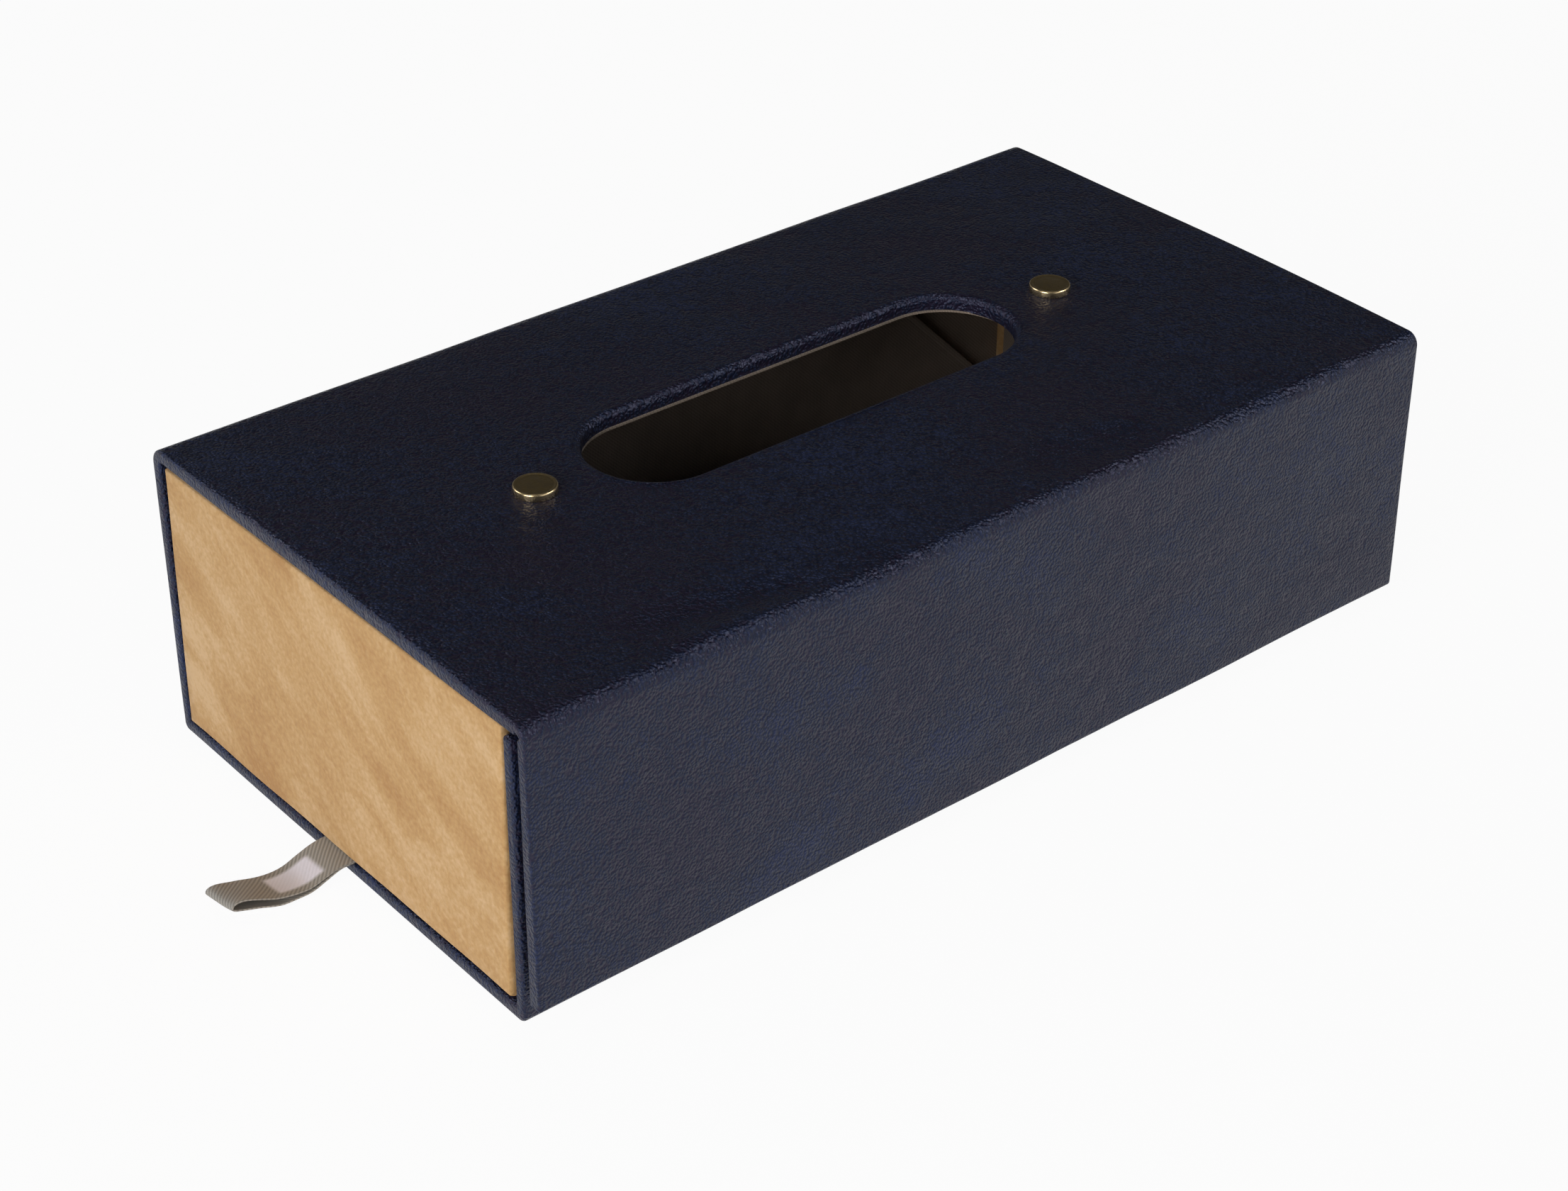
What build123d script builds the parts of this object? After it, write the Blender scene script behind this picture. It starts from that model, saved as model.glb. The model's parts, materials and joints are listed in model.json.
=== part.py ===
from build123d import *
import math
import os

# Tissue box with a pull-out drawer. One wrap of leather-covered board makes the case (base,
# back wall, side wall), the lid with its tissue slot, and a flap that hangs over the side
# wall and is held there by magnets. A tan-fronted drawer slides out of the open end on a
# ribbon pull, and a tan panel closes the other end.
#
# Millimetres. X runs from the back wall to the flap, Y from the drawer's front to the closed
# end, Z up. The origin lies on the table, under the middle of the lid.

# ---------------------------------------------------------------- driving dimensions
length = 260.4  # front end to closed end
width = 141.6  # back wall's face to the flap's face
height = 76.0  # table to the lid's edge
lid_crown = 0.8  # how much higher the lid's middle stands than its edges

# sheets that are laid over each other
leather = 0.8
lining = 0.5
turn_in = 3.0  # leather folded round an edge onto the inside
edge_round = 0.6  # where leather goes round an edge

# boards
base_board_thick = 2.2
wall_board_thick = 1.9
lid_board_thick = 2.1
flap_board_thick = 1.7
end_board_thick = 2.6
front_board_thick = 2.0
tray_board_thick = 2.0

# folds, outer radius
base_fold = 2.0
back_fold = 4.0
front_fold = 3.4

# gaps between the panels
flap_gap = 1.5  # side wall to the flap's lining
flap_lift = 6.4  # table to the flap's lower edge
side_drop = 1.4  # side wall's top below the lid
panel_gap = 0.6  # drawer front and end panel below the lid
drawer_side_gap = 0.9
drawer_lift = 0.4  # drawer above the case's lining
front_lift = 1.1  # drawer front above the case's lining
end_recess = 1.0
tray_end_gap = 1.5  # tray to the end panel

# tissue slot and the two rivets on its axis
slot_length = 122.0
slot_width = 35.6
slot_lip = 1.6
lining_show = 0.4  # lining's cut edge inside the slot
rivet_pitch = 153.0
cap_diameter = 10.0
cap_height = 1.9
cap_round = 0.5
cap_foot_bevel = 0.2
shank_diameter = 3.0
rivet_back_diameter = 8.0
rivet_back_height = 0.8
rivet_back_bevel = 0.3

# magnets that hold the flap
magnet_diameter = 10.0
magnet_thick = 1.2
magnet_pitch = 160.0
magnet_height = 30.0

# drawer tray
tray_cloth = 0.6  # cloth round the tray's boards
tray_lining = 0.4
tray_turn_in = 2.0
tray_drop = 6.0  # tray walls below the lid
tray_slope = 45.0  # degrees, rear end of the tray walls

# ribbon pull, a doubled strip
ribbon_width = 13.5
ribbon_aside = -2.2  # off the drawer front's middle
ribbon_thick = 0.3
ribbon_tail = 18.0  # glued under the tray's base board, let into the cloth
ribbon_reach = 30.5  # in front of the drawer front
ribbon_fork = 3.0  # the two layers part here, in front of the drawer front
ribbon_bend = 6.0

# inside of the ribbon's loop: (distance in front of the drawer front, height)
loop_below = [(11.5, 0.8), (19.0, 0.8), (28.8, 3.5)]
loop_above = [(28.0, 5.5), (20.5, 1.9), (12.5, 1.6)]
loop_tip = (ribbon_reach - ribbon_thick, 4.9)

# ---------------------------------------------------------------- places worked out
half_length = length / 2
board_end = half_length - leather
lining_end = half_length - turn_in

back_x = -width / 2
wall_thick = leather + wall_board_thick + lining
back_in_x = back_x + wall_thick
flap_thick = leather + flap_board_thick + lining
flap_x = width / 2
flap_in_x = flap_x - flap_thick
side_x = flap_in_x - flap_gap
side_in_x = side_x - wall_thick

base_board_z = leather
base_lining_z = base_board_z + base_board_thick
base_top = base_lining_z + lining

lid_under = height - leather - lid_board_thick - lining
lid_board_z = lid_under + lining
lid_top = height + lid_crown
side_top = lid_under - side_drop
panel_top = lid_under - panel_gap

back_fold_x = back_x + back_fold
back_fold_z = height - back_fold
front_fold_x = flap_x - front_fold
front_fold_z = height - front_fold

front_y = -half_length
front_thick = leather + front_board_thick + tray_lining
front_in_y = front_y + front_thick
front_z = base_top + front_lift
end_y = half_length - end_recess
end_thick = leather + end_board_thick + lining
end_in_y = end_y - end_thick

drawer_x0 = back_in_x + drawer_side_gap
drawer_x1 = side_in_x - drawer_side_gap
drawer_mid_x = (drawer_x0 + drawer_x1) / 2
tray_z = base_top + drawer_lift
tray_wall = tray_cloth + tray_board_thick + tray_lining
tray_floor = tray_z + tray_wall
tray_top = lid_under - tray_drop
tray_end_y = end_in_y - tray_end_gap

rivet_places = [(0, -rivet_pitch / 2), (0, rivet_pitch / 2)]
magnet_places = [(-magnet_pitch / 2, magnet_height), (magnet_pitch / 2, magnet_height)]


def section(y):
    """Plane across the box at y, with X and Z in it; an extrusion runs towards the front."""
    return Plane.XZ.offset(-y)


def span(u0, u1, v0, v1, mode=Mode.ADD):
    """Draw a rectangle between two places along each of the sketch's axes."""
    with Locations(((u0 + u1) / 2, (v0 + v1) / 2)):
        Rectangle(u1 - u0, v1 - v0, mode=mode)


def end_edges(part, top):
    """Edges round both end faces of a long piece, without those that lie at a joint's height."""
    ends = part.faces().filter_by(Axis.Y)
    rims = ends.sort_by(Axis.Y)[0].edges() + ends.sort_by(Axis.Y)[-1].edges()
    return [rim for rim in rims if rim.center().Z < top - 0.01]


# ---------------------------------------------------------------- case
with BuildPart() as base_board:
    with BuildSketch(section(board_end)):
        span(back_x + leather, side_x - leather, base_board_z, base_lining_z)
    extrude(amount=2 * board_end)
    fillet(base_board.edges().filter_by(Axis.Y).group_by(Axis.Z)[0], base_fold - leather)

with BuildPart() as back_board:
    with BuildSketch(section(board_end)):
        span(back_x + leather, back_in_x - lining, base_lining_z, back_fold_z)
    extrude(amount=2 * board_end)

with BuildPart() as side_board:
    with BuildSketch(section(board_end)):
        span(side_in_x + lining, side_x - leather, base_lining_z, side_top - leather)
    extrude(amount=2 * board_end)
    with BuildSketch(Plane.YZ.offset(side_x - leather)):
        with Locations(*magnet_places):
            Circle(magnet_diameter / 2)
    extrude(amount=-magnet_thick, mode=Mode.SUBTRACT)

with BuildPart() as side_magnets:
    with BuildSketch(Plane.YZ.offset(side_x - leather)):
        with Locations(*magnet_places):
            Circle(magnet_diameter / 2)
    extrude(amount=-magnet_thick)

with BuildPart() as case_lining:
    with BuildSketch(section(lining_end)):
        span(back_in_x - lining, side_in_x + lining, base_lining_z, back_fold_z)
        span(back_in_x, side_in_x, base_top, back_fold_z, Mode.SUBTRACT)
        span(side_in_x, side_in_x + lining, side_top - turn_in, back_fold_z, Mode.SUBTRACT)
    extrude(amount=2 * lining_end)

# The leather is one sheet round the outside, folded in over the board ends and the side
# wall's top. What the boards and the lining don't take of the wall is leather.
with BuildPart() as case_leather:
    with BuildSketch(section(half_length)) as case_outline:
        span(back_x, side_x, 0, back_fold_z)
        span(back_in_x, side_in_x, base_top, back_fold_z, Mode.SUBTRACT)
        span(side_in_x, side_x, side_top, back_fold_z, Mode.SUBTRACT)
        fillet(case_outline.vertices().group_by(Axis.Y)[0], base_fold)
    extrude(amount=length)
    fillet(end_edges(case_leather, back_fold_z), edge_round)
    for filling in (base_board, back_board, side_board, side_magnets, case_lining):
        add(filling.part, mode=Mode.SUBTRACT)

with BuildPart() as end_board:
    with BuildSketch(section(end_y - leather)):
        span(back_in_x + leather, side_in_x - leather, base_top + leather, panel_top - leather)
    extrude(amount=end_board_thick)

with BuildPart() as end_lining:
    with BuildSketch(section(end_in_y + lining)):
        span(back_in_x + turn_in, side_in_x - turn_in, base_top + turn_in, panel_top - turn_in)
    extrude(amount=lining)

with BuildPart() as end_leather:
    with BuildSketch(section(end_y)):
        span(back_in_x, side_in_x, base_top, panel_top)
    extrude(amount=end_thick)
    fillet(end_leather.faces().sort_by(Axis.Y)[-1].edges(), edge_round)
    for filling in (end_board, end_lining):
        add(filling.part, mode=Mode.SUBTRACT)

# ---------------------------------------------------------------- fold between case and lid
with BuildPart() as back_hinge_lining:
    with BuildSketch(section(lining_end)):
        with Locations((back_fold_x, back_fold_z)):
            Circle(back_fold - leather)
            Circle(back_fold - leather - lining, mode=Mode.SUBTRACT)
        span(back_x, back_fold_x, back_fold_z, height, Mode.INTERSECT)
    extrude(amount=2 * lining_end)

with BuildPart() as back_hinge_leather:
    with BuildSketch(section(half_length)):
        with Locations((back_fold_x, back_fold_z)):
            Circle(back_fold)
            Circle(back_fold - leather - lining, mode=Mode.SUBTRACT)
        span(back_x, back_fold_x, back_fold_z, height, Mode.INTERSECT)
    extrude(amount=length)
    add(back_hinge_lining.part, mode=Mode.SUBTRACT)

# ---------------------------------------------------------------- lid
with BuildPart() as lid_board:
    with BuildSketch(section(board_end)):
        span(back_fold_x, front_fold_x, lid_board_z, height - leather)
    extrude(amount=2 * board_end)
    with BuildSketch(Plane.XY.offset(lid_board_z)):
        SlotOverall(slot_length + 2 * leather, slot_width + 2 * leather, rotation=90)
    extrude(amount=lid_board_thick, mode=Mode.SUBTRACT)
    chamfer(lid_board.edges(Select.LAST).group_by(Axis.Z)[-1], slot_lip - leather)
    with Locations(*[(x, y, lid_board_z) for x, y in rivet_places]):
        Hole(shank_diameter / 2)

with BuildPart() as lid_lining:
    with BuildSketch(section(lining_end)):
        span(back_fold_x, front_fold_x, lid_under, lid_board_z)
    extrude(amount=2 * lining_end)
    with BuildSketch(Plane.XY.offset(lid_under)):
        SlotOverall(slot_length - 2 * lining_show, slot_width - 2 * lining_show, rotation=90)
        with Locations(*rivet_places):
            Circle(shank_diameter / 2)
    extrude(amount=lining, mode=Mode.SUBTRACT)

# The leather is crowned, goes over the slot's edge in a soft lip and lines its wall.
with BuildPart() as lid_leather:
    with BuildSketch(section(half_length)):
        with BuildLine():
            Line((back_fold_x, height), (back_fold_x, lid_under))
            Line((back_fold_x, lid_under), (front_fold_x, lid_under))
            Line((front_fold_x, lid_under), (front_fold_x, height))
            middle = ((back_fold_x + front_fold_x) / 2, lid_top)
            ThreePointArc((front_fold_x, height), middle, (back_fold_x, height))
        make_face()
    extrude(amount=length)
    with BuildSketch(Plane.XY.offset(lid_under)):
        SlotOverall(slot_length, slot_width, rotation=90)
    extrude(amount=lid_top - lid_under, mode=Mode.SUBTRACT)
    lip = lid_leather.edges(Select.LAST).filter_by(lambda edge: edge.center().Z > height)
    fillet(lip, slot_lip)
    with BuildSketch(Plane.XY.offset(lid_under)):
        with Locations(*rivet_places):
            Circle(shank_diameter / 2)
    extrude(amount=lid_top - lid_under, mode=Mode.SUBTRACT)
    for filling in (lid_board, lid_lining):
        add(filling.part, mode=Mode.SUBTRACT)

with BuildPart() as rivet_caps:
    with BuildSketch(Plane.XY.offset(lid_top)):
        with Locations(*rivet_places):
            Circle(cap_diameter / 2)
    extrude(amount=cap_height)
    cap_rims = rivet_caps.edges().filter_by(GeomType.CIRCLE).group_by(Axis.Z)
    fillet(cap_rims[-1], cap_round)
    chamfer(cap_rims[0], cap_foot_bevel)
    with BuildSketch(Plane.XY.offset(lid_top)):
        with Locations(*rivet_places):
            Circle(shank_diameter / 2)
    extrude(amount=-(lid_top - lid_under + rivet_back_height))

with BuildPart() as rivet_backs:
    with BuildSketch(Plane.XY.offset(lid_under)):
        with Locations(*rivet_places):
            Circle(rivet_back_diameter / 2)
            Circle(shank_diameter / 2, mode=Mode.SUBTRACT)
    extrude(amount=-rivet_back_height)
    lower_rims = rivet_backs.edges().group_by(Axis.Z)[0]
    chamfer(lower_rims.group_by(SortBy.RADIUS)[-1], rivet_back_bevel)

# ---------------------------------------------------------------- fold between lid and flap
with BuildPart() as front_hinge_lining:
    with BuildSketch(section(lining_end)):
        with Locations((front_fold_x, front_fold_z)):
            Circle(front_fold - leather)
            Circle(front_fold - leather - lining, mode=Mode.SUBTRACT)
        span(front_fold_x, flap_x, front_fold_z, height, Mode.INTERSECT)
    extrude(amount=2 * lining_end)

with BuildPart() as front_hinge_leather:
    with BuildSketch(section(half_length)):
        with Locations((front_fold_x, front_fold_z)):
            Circle(front_fold)
            Circle(front_fold - leather - lining, mode=Mode.SUBTRACT)
        span(front_fold_x, flap_x, front_fold_z, height, Mode.INTERSECT)
    extrude(amount=length)
    add(front_hinge_lining.part, mode=Mode.SUBTRACT)

# ---------------------------------------------------------------- flap
with BuildPart() as flap_board:
    with BuildSketch(section(board_end)):
        span(flap_in_x + lining, flap_x - leather, flap_lift + leather, front_fold_z)
    extrude(amount=2 * board_end)
    with BuildSketch(Plane.YZ.offset(flap_in_x + lining)):
        with Locations(*magnet_places):
            Circle(magnet_diameter / 2)
    extrude(amount=magnet_thick, mode=Mode.SUBTRACT)

with BuildPart() as flap_magnets:
    with BuildSketch(Plane.YZ.offset(flap_in_x + lining)):
        with Locations(*magnet_places):
            Circle(magnet_diameter / 2)
    extrude(amount=magnet_thick)

with BuildPart() as flap_lining:
    with BuildSketch(section(lining_end)):
        span(flap_in_x, flap_in_x + lining, flap_lift + turn_in, front_fold_z)
    extrude(amount=2 * lining_end)

with BuildPart() as flap_leather:
    with BuildSketch(section(half_length)):
        span(flap_in_x, flap_x, flap_lift, front_fold_z)
    extrude(amount=length)
    lower_edges = flap_leather.edges().filter_by(Axis.Y).group_by(Axis.Z)[0]
    fillet(end_edges(flap_leather, front_fold_z) + lower_edges, edge_round)
    for filling in (flap_board, flap_magnets, flap_lining):
        add(filling.part, mode=Mode.SUBTRACT)

# ---------------------------------------------------------------- drawer front
with BuildPart() as drawer_front_board:
    with BuildSketch(section(front_in_y - tray_lining)):
        span(drawer_x0 + leather, drawer_x1 - leather, front_z + leather, panel_top - leather)
    extrude(amount=front_board_thick)

with BuildPart() as drawer_front_lining:
    with BuildSketch(section(front_in_y)):
        span(drawer_x0 + turn_in, drawer_x1 - turn_in, front_z + turn_in, panel_top - turn_in)
    extrude(amount=tray_lining)

with BuildPart() as drawer_front_leather:
    with BuildSketch(section(front_in_y)):
        span(drawer_x0, drawer_x1, front_z, panel_top)
    extrude(amount=front_thick)
    fillet(drawer_front_leather.faces().sort_by(Axis.Y)[0].edges(), edge_round)
    for filling in (drawer_front_board, drawer_front_lining):
        add(filling.part, mode=Mode.SUBTRACT)


# ---------------------------------------------------------------- drawer tray
slope_run = (tray_top - tray_floor) / math.tan(math.radians(tray_slope))
tray_side_corners = [
    (front_in_y, tray_z),
    (tray_end_y, tray_z),
    (tray_end_y, tray_floor),
    (tray_end_y - slope_run, tray_top),
    (front_in_y, tray_top),
]
board_x0 = drawer_x0 + tray_cloth
board_x1 = drawer_x1 - tray_cloth
board_z = tray_z + tray_cloth
hollow_x0 = drawer_x0 + tray_wall
hollow_x1 = drawer_x1 - tray_wall

with BuildPart() as drawer_left_board:
    with BuildSketch(Plane.YZ.offset(board_x0)):
        with BuildLine():
            Polyline(*tray_side_corners, close=True)
        make_face()
        offset(amount=-tray_cloth, kind=Kind.INTERSECTION)
    extrude(amount=tray_board_thick)

with BuildPart() as drawer_right_board:
    with BuildSketch(Plane.YZ.offset(board_x1)):
        with BuildLine():
            Polyline(*tray_side_corners, close=True)
        make_face()
        offset(amount=-tray_cloth, kind=Kind.INTERSECTION)
    extrude(amount=-tray_board_thick)

with BuildPart() as drawer_base_board:
    with BuildSketch(section(tray_end_y - tray_cloth)):
        board_in_x0 = board_x0 + tray_board_thick
        board_in_x1 = board_x1 - tray_board_thick
        span(board_in_x0, board_in_x1, board_z, board_z + tray_board_thick)
    extrude(amount=tray_end_y - front_in_y - 2 * tray_cloth)

with BuildPart() as drawer_lining:
    with BuildSketch(Plane.YZ.offset(board_in_x0)):
        with BuildLine():
            Polyline(*tray_side_corners, close=True)
        make_face()
        offset(amount=-tray_turn_in, kind=Kind.INTERSECTION)
    extrude(amount=board_in_x1 - board_in_x0)
    with BuildSketch(section(tray_end_y)):
        span(hollow_x0, hollow_x1, tray_floor, tray_top)
        span(board_in_x0, board_in_x1, tray_z, tray_floor - tray_lining)
    extrude(amount=tray_end_y - front_in_y, mode=Mode.SUBTRACT)

# The ribbon's two ends are glued under the tray's base board. It comes out under the drawer
# front, drops to the table and turns back in a loop with a raised tip.
ribbon_x = drawer_mid_x + ribbon_aside - ribbon_width / 2

with BuildPart() as pull_ribbon:
    with BuildSketch(Plane.YZ.offset(ribbon_x)):
        fork = (front_y - ribbon_fork, tray_z + ribbon_thick)
        below = [(front_y - ahead, z) for ahead, z in loop_below]
        above = [(front_y - ahead, z) for ahead, z in loop_above]
        tip = (front_y - loop_tip[0], loop_tip[1])
        with BuildLine():
            FilletPolyline(fork, *below, radius=ribbon_bend)
            ThreePointArc(below[-1], tip, above[0])
            FilletPolyline(*above, fork, radius=ribbon_bend)
        loop_hollow = make_face()
        offset(loop_hollow, amount=ribbon_thick, mode=Mode.ADD)
        add(loop_hollow, mode=Mode.SUBTRACT)
        span(fork[0], front_in_y + ribbon_tail, tray_z, tray_z + 2 * ribbon_thick)
    extrude(amount=ribbon_width)

with BuildPart() as drawer_cloth:
    with BuildSketch(Plane.YZ.offset(drawer_x0)):
        with BuildLine():
            Polyline(*tray_side_corners, close=True)
        make_face()
    extrude(amount=drawer_x1 - drawer_x0)
    with BuildSketch(section(tray_end_y)):
        span(hollow_x0, hollow_x1, tray_floor, tray_top)
    extrude(amount=tray_end_y - front_in_y, mode=Mode.SUBTRACT)
    boards = (drawer_left_board, drawer_right_board, drawer_base_board)
    for filling in boards + (drawer_lining, pull_ribbon):
        add(filling.part, mode=Mode.SUBTRACT)

# ---------------------------------------------------------------- write the parts
pieces = {
    "case_leather": case_leather,
    "base_board": base_board,
    "back_board": back_board,
    "side_board": side_board,
    "side_magnets": side_magnets,
    "case_lining": case_lining,
    "end_board": end_board,
    "end_leather": end_leather,
    "end_lining": end_lining,
    "back_hinge_leather": back_hinge_leather,
    "back_hinge_lining": back_hinge_lining,
    "lid_board": lid_board,
    "lid_leather": lid_leather,
    "lid_lining": lid_lining,
    "rivet_caps": rivet_caps,
    "rivet_backs": rivet_backs,
    "front_hinge_leather": front_hinge_leather,
    "front_hinge_lining": front_hinge_lining,
    "flap_board": flap_board,
    "flap_leather": flap_leather,
    "flap_lining": flap_lining,
    "flap_magnets": flap_magnets,
    "drawer_front_board": drawer_front_board,
    "drawer_front_leather": drawer_front_leather,
    "drawer_front_lining": drawer_front_lining,
    "drawer_base_board": drawer_base_board,
    "drawer_left_board": drawer_left_board,
    "drawer_right_board": drawer_right_board,
    "drawer_cloth": drawer_cloth,
    "drawer_lining": drawer_lining,
    "pull_ribbon": pull_ribbon,
}
os.makedirs("parts", exist_ok=True)
for name, piece in pieces.items():
    piece.part.label = name
    export_step(piece.part, f"parts/{name}.step")
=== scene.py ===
"""Looks for a leather-covered tissue box with a drawer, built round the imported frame."""

import json
import logging
import math
from contextlib import contextmanager
from dataclasses import dataclass, field
from enum import Enum, IntEnum
from typing import Callable, Iterator

import bmesh
import bpy
import numpy as np
from mathutils import Matrix, Vector

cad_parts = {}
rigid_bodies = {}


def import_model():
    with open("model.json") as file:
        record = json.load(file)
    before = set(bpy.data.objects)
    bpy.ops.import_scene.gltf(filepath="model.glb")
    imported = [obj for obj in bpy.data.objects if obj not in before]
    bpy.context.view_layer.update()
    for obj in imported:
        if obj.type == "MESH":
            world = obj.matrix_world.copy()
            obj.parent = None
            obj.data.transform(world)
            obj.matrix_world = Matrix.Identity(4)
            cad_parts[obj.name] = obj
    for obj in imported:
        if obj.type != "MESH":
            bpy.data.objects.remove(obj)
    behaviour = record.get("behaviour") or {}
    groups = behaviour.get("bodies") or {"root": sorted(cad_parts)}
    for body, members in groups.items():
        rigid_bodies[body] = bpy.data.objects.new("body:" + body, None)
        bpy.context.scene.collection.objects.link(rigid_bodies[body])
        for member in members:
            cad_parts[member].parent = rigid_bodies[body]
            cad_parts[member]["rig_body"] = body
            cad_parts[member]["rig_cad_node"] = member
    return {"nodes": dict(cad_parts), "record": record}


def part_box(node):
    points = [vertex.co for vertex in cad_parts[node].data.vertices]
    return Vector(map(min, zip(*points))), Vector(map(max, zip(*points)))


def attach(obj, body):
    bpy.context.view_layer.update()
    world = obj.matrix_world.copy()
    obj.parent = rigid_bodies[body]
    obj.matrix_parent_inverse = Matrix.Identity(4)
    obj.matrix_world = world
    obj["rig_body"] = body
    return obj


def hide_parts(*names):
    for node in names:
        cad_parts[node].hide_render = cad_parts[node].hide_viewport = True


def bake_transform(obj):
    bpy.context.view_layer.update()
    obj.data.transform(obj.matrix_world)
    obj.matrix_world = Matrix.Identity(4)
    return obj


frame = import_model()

log = logging.getLogger("tissue_box")

MM = 0.001
NEAR = 0.01 * MM  # places closer than this count as one
ALONG = 0.9  # a face looks along an axis when this much of its normal does
BANDS = 3.1  # bands of a wave texture in one unit, at a scale of 1
Point = tuple[float, float, float]
Test = Callable[[object], bool]


class Body(str, Enum):
    """The four bodies that move."""

    CASE = "case"
    LID = "lid"
    FLAP = "flap"
    DRAWER = "drawer"


class Slot(str, Enum):
    """The record's material slots."""

    NAVY = "navy_leather"
    TAN = "tan_leather"
    BOARD = "board"
    LINING = "lining_cloth"
    TRAY = "tray_cloth"
    RIBBON = "ribbon"
    BRASS = "brass"
    MAGNET = "magnet_steel"


class Axis(IntEnum):
    """The frame's axes, as places in a vector."""

    X = 0
    Y = 1
    Z = 2


class Kind(str, Enum):
    """What an edit-mode selection is made of."""

    VERT = "VERT"
    EDGE = "EDGE"
    FACE = "FACE"


# ---------------------------------------------------------------- workbench


def mm(values: Point) -> Vector:
    """Turn a point in millimetres into metres."""
    return Vector(values) * MM


def colour(code: str) -> tuple[float, float, float, float]:
    """Turn an sRGB hex colour into a shader's linear values, by the sRGB curve.

    Args:
        code: Six hex digits, with or without a leading #.

    Returns:
        Linear red, green and blue, and an alpha of 1.
    """
    parts = [int(code.lstrip("#")[i : i + 2], 16) / 255 for i in (0, 2, 4)]
    linear = [c / 12.92 if c <= 0.04045 else ((c + 0.055) / 1.055) ** 2.4 for c in parts]
    return (*linear, 1.0)


def select_only(*objects: bpy.types.Object) -> None:
    """Select these objects alone.

    Args:
        objects: What to select, with the one to make active first.
    """
    bpy.ops.object.select_all(action="DESELECT")
    for item in objects:
        item.select_set(True)
    bpy.context.view_layer.objects.active = objects[0]


@contextmanager
def editing(piece: bpy.types.Object, kind: Kind = Kind.EDGE) -> Iterator[None]:
    """Open one object in edit mode with nothing selected, and close it again.

    Args:
        piece: The object to shape.
        kind: What the selections in it are made of.
    """
    select_only(piece)
    bpy.ops.object.mode_set(mode="EDIT")
    bpy.ops.mesh.select_mode(type=kind.value)
    bpy.ops.mesh.select_all(action="DESELECT")
    yield
    bpy.ops.object.mode_set(mode="OBJECT")


def pick(piece: bpy.types.Object, kind: Kind, wanted: Test) -> None:
    """Select the parts of an open mesh that pass a test.

    Args:
        piece: The object that is in edit mode.
        kind: Vertices, edges or faces.
        wanted: Says yes to what is to be selected.
    """
    mesh = bmesh.from_edit_mesh(piece.data)
    mesh.normal_update()
    bpy.ops.mesh.select_mode(type=kind.value)
    bpy.ops.mesh.select_all(action="DESELECT")
    mesh = bmesh.from_edit_mesh(piece.data)
    items = {Kind.VERT: mesh.verts, Kind.EDGE: mesh.edges, Kind.FACE: mesh.faces}[kind]
    chosen = [item for item in items if wanted(item)]
    for item in chosen:
        item.select_set(True)
    mesh.select_flush_mode()
    bmesh.update_edit_mesh(piece.data)


def middle(edge: object) -> Vector:
    """The middle of an edge, in metres."""
    return (edge.verts[0].co + edge.verts[1].co) / 2


def lies_at(edge: object, axis: Axis, place: float) -> bool:
    """Whether both ends of an edge lie at a place on an axis, in millimetres."""
    return all(abs(v.co[axis] - place * MM) < NEAR for v in edge.verts)


def runs_along(edge: object, axis: Axis, least: float = 0.0) -> bool:
    """Whether an edge lies along an axis and is long enough.

    Args:
        edge: The edge.
        axis: The axis.
        least: Its least length in millimetres.

    Returns:
        True if both are so.
    """
    way = edge.verts[1].co - edge.verts[0].co
    length = way.length
    return length > least * MM and abs(way[axis]) > 0.999 * length


def is_crisp(edge: object, least: float = 60.0) -> bool:
    """Whether an edge is an outward corner.

    Args:
        edge: The edge.
        least: The least angle between its two faces' normals, in degrees.

    Returns:
        True if it is one.
    """
    if len(edge.link_faces) != 2:
        return False
    return edge.is_convex and edge.calc_face_angle(0.0) > math.radians(least)


def add_block(name: str, low: Point, high: Point) -> bpy.types.Object:
    """Add a block between two corners.

    Args:
        name: The new object's name.
        low: Lowest corner, in millimetres.
        high: Highest corner, in millimetres.

    Returns:
        The block, with its place in its mesh.
    """
    a, b = mm(low), mm(high)
    bpy.ops.mesh.primitive_cube_add(size=1, location=(a + b) / 2, scale=b - a)
    block = bpy.context.object
    block.name = name
    settle(block)
    return block


def settle(piece: bpy.types.Object) -> None:
    """Put an object's place, turn and scale into its mesh."""
    select_only(piece)
    bpy.ops.object.transform_apply(location=True, rotation=True, scale=True)


def work(piece: bpy.types.Object, kind: str, **settings: object) -> None:
    """Add a modifier to an object and apply it.

    Args:
        piece: The object to change.
        kind: Blender's name for the modifier.
        settings: Its values.
    """
    select_only(piece)
    modifier = piece.modifiers.new(kind.title(), kind)
    for name, value in settings.items():
        setattr(modifier, name, value)
    bpy.ops.object.modifier_apply(modifier=modifier.name)


def extrude_up(height: float) -> None:
    """Extrude what is selected straight up by so many millimetres, or down."""
    bpy.ops.mesh.extrude_region_move(TRANSFORM_OT_translate={"value": (0, 0, height * MM)})


def cut_across(piece: bpy.types.Object, axis: Axis, cuts: int, least: float = 20.0) -> None:
    """Divide the long edges along an axis into equal lengths.

    Args:
        piece: The object to divide.
        axis: The axis.
        cuts: How many cuts each edge gets.
        least: Shorter edges than this, in millimetres, stay whole.
    """
    with editing(piece):
        pick(piece, Kind.EDGE, lambda e: runs_along(e, axis, least))
        bpy.ops.mesh.subdivide(number_cuts=cuts)


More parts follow.
